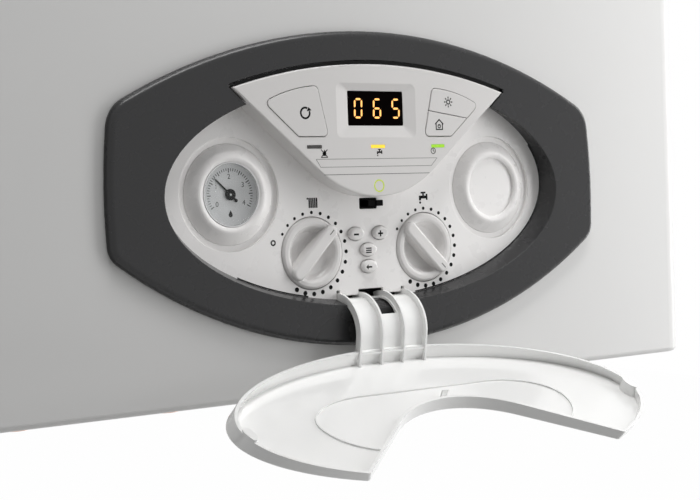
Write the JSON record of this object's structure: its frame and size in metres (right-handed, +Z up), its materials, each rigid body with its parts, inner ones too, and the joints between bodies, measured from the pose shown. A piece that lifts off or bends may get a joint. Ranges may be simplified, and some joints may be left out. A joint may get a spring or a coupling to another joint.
{
  "type": "combi boiler",
  "caption": "Wall-hung storage combi boiler: white steel casing, oval control panel with display, knobs, pressure gauge and drop-down flap, sealed chamber, tanks, pump and flue collar.",
  "frame": {"origin": "centre of the wall bracket's bolt pattern, on the wall", "axes": "+X right as seen from the front, -Y out of the wall towards the user, +Z up"},
  "size_m": [0.6, 0.5859, 0.985],
  "materials": {
    "casing_white": "satin powder paint",
    "galvanised_steel": "galvanised",
    "zinc_screws": "zinc plated",
    "surround_grey": "fine satin",
    "panel_white": "fine satin",
    "knob_white": "satin",
    "flap_white": "gloss",
    "smoked_window": "gloss",
    "display_black": "matte",
    "lamp_lens": "gloss",
    "lamp_green": "gloss",
    "dial_silver": "satin printed",
    "needle_black": "matte",
    "clear_lens": "clear",
    "board_green": "lacquered",
    "box_grey": "matte",
    "stainless": "brushed",
    "vessel_red": "gloss paint",
    "brass_fittings": "machined",
    "copper_finned": "drawn copper",
    "cast_black": "painted",
    "cast_aluminium": "die cast",
    "ceramic_white": "glazed"
  },
  "bodies": {
    "root": {"wall_bracket": "galvanised_steel", "rear_frame": "galvanised_steel", "side_panel_left": "casing_white", "side_panel_right": "casing_white", "top_panel": "casing_white", "bottom_tray": "casing_white", "front_casing": "casing_white", "casing_screws": "zinc_screws", "panel_surround": "surround_grey", "panel_fascia": "panel_white", "display_cover": "panel_white", "display_window": "smoked_window", "display_module": "display_black", "indicator_lenses": "lamp_lens", "power_lens": "lamp_green", "gauge_bezel": "panel_white", "gauge_case": "display_black", "gauge_dial": "dial_silver", "gauge_lens": "clear_lens", "timer_blank": "panel_white", "dial_encoders": "display_black", "switch_body": "display_black", "control_board": "board_green", "control_box": "box_grey", "hinge_pin": "zinc_screws", "left_tank": "stainless", "right_tank": "stainless", "expansion_vessel": "vessel_red", "combustion_chamber": "galvanised_steel", "burner": "stainless", "gas_manifold": "brass_fittings", "heat_exchanger": "copper_finned", "flue_hood": "galvanised_steel", "fan_housing": "galvanised_steel", "fan_motor": "cast_black", "flue_collar": "galvanised_steel", "pressure_switch": "display_black", "electrodes": "ceramic_white", "gas_valve": "cast_aluminium", "gas_pipe": "copper_finned", "pump_body": "cast_black", "plate_exchanger": "stainless", "diverter_valve": "brass_fittings", "safety_valve": "brass_fittings", "water_pipes": "copper_finned"},
    "reset_key": {"reset_key": "panel_white"},
    "comfort_key": {"comfort_key": "panel_white"},
    "auto_key": {"auto_key": "panel_white"},
    "gauge_needle": {"gauge_needle": "needle_black"},
    "heating_knob": {"heating_knob": "knob_white"},
    "hot_water_knob": {"hot_water_knob": "knob_white"},
    "switch_slider": {"switch_slider": "display_black"},
    "minus_button": {"minus_button": "panel_white"},
    "plus_button": {"plus_button": "panel_white"},
    "menu_button": {"menu_button": "panel_white"},
    "back_button": {"back_button": "panel_white"},
    "flap": {"flap": "flap_white"},
    "fan_impeller": {"fan_impeller": "galvanised_steel"},
    "pump_impeller": {"pump_impeller": "box_grey"},
    "safety_knob": {"safety_knob": "vessel_red"}
  },
  "joints": [
    {"name": "reset_key_push", "type": "slide", "parent": "root", "child": "reset_key", "axis": [0, 1, 0], "range_m": [0, 0.0008], "stiffness_N_per_m": 600},
    {"name": "comfort_key_push", "type": "slide", "parent": "root", "child": "comfort_key", "axis": [0, 1, 0], "range_m": [0, 0.0008], "stiffness_N_per_m": 600},
    {"name": "auto_key_push", "type": "slide", "parent": "root", "child": "auto_key", "axis": [0, 1, 0], "range_m": [0, 0.0008], "stiffness_N_per_m": 600},
    {"name": "minus_button_push", "type": "slide", "parent": "root", "child": "minus_button", "axis": [0, 1, 0], "range_m": [0, 0.0008], "stiffness_N_per_m": 600},
    {"name": "plus_button_push", "type": "slide", "parent": "root", "child": "plus_button", "axis": [0, 1, 0], "range_m": [0, 0.0008], "stiffness_N_per_m": 600},
    {"name": "menu_button_push", "type": "slide", "parent": "root", "child": "menu_button", "axis": [0, 1, 0], "range_m": [0, 0.0008], "stiffness_N_per_m": 600},
    {"name": "back_button_push", "type": "slide", "parent": "root", "child": "back_button", "axis": [0, 1, 0], "range_m": [0, 0.0008], "stiffness_N_per_m": 600},
    {"name": "needle_turn", "type": "hinge", "parent": "root", "child": "gauge_needle", "pos_m": [-0.1078, -0.4526, -0.7274], "axis": [0, 1, 0], "range_deg": [-75, 165]},
    {"name": "heating_knob_turn", "type": "hinge", "parent": "root", "child": "heating_knob", "pos_m": [-0.0466, -0.4526, -0.7674], "axis": [0, 1, 0], "range_deg": [-120, 165]},
    {"name": "hot_water_knob_turn", "type": "hinge", "parent": "root", "child": "hot_water_knob", "pos_m": [0.0466, -0.4526, -0.7674], "axis": [0, 1, 0], "range_deg": [-195, 75]},
    {"name": "switch_slide", "type": "slide", "parent": "root", "child": "switch_slider", "axis": [1, 0, 0], "range_m": [-0.005, 0]},
    {"name": "flap_fold", "type": "hinge", "parent": "root", "child": "flap", "pos_m": [0, -0.4521, -0.8208], "axis": [-1, 0, 0], "range_deg": [0, 114.5]},
    {"name": "fan_spin", "type": "hinge", "parent": "root", "child": "fan_impeller", "pos_m": [-0.034, -0.3026, -0.1307], "axis": [0, 1, 0], "continuous": true},
    {"name": "pump_spin", "type": "hinge", "parent": "root", "child": "pump_impeller", "pos_m": [0.134, -0.18, -0.725], "axis": [0, 1, 0], "continuous": true},
    {"name": "safety_knob_turn", "type": "hinge", "parent": "root", "child": "safety_knob", "pos_m": [0.215, -0.17, -0.78], "axis": [0, 1, 0], "range_deg": [0, 90]}
  ]
}
